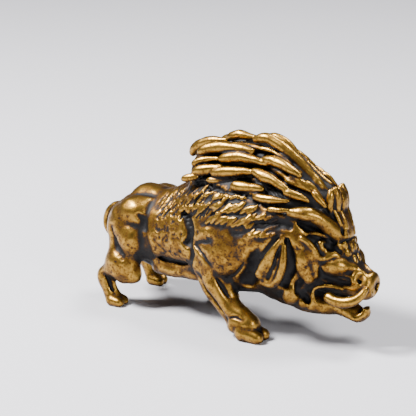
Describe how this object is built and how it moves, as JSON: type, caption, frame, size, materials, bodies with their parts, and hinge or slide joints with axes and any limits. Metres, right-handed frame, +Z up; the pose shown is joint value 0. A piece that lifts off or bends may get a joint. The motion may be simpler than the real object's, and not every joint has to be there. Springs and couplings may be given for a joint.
{
  "type": "animal figurine",
  "caption": "Cast bronze boar figurine in stride, head low, jaws open with tusks, hanging ears and a high mane of thick carved locks.",
  "frame": {"origin": "on the ground, under the middle of the figure's bounding box", "axes": "+X forward towards the snout, +Z up, -Y to the figure's right side"},
  "size_m": [0.0475, 0.017, 0.0296],
  "materials": {
    "antique_bronze": "satin"
  },
  "bodies": {
    "root": {"boar": "antique_bronze"}
  },
  "joints": []
}
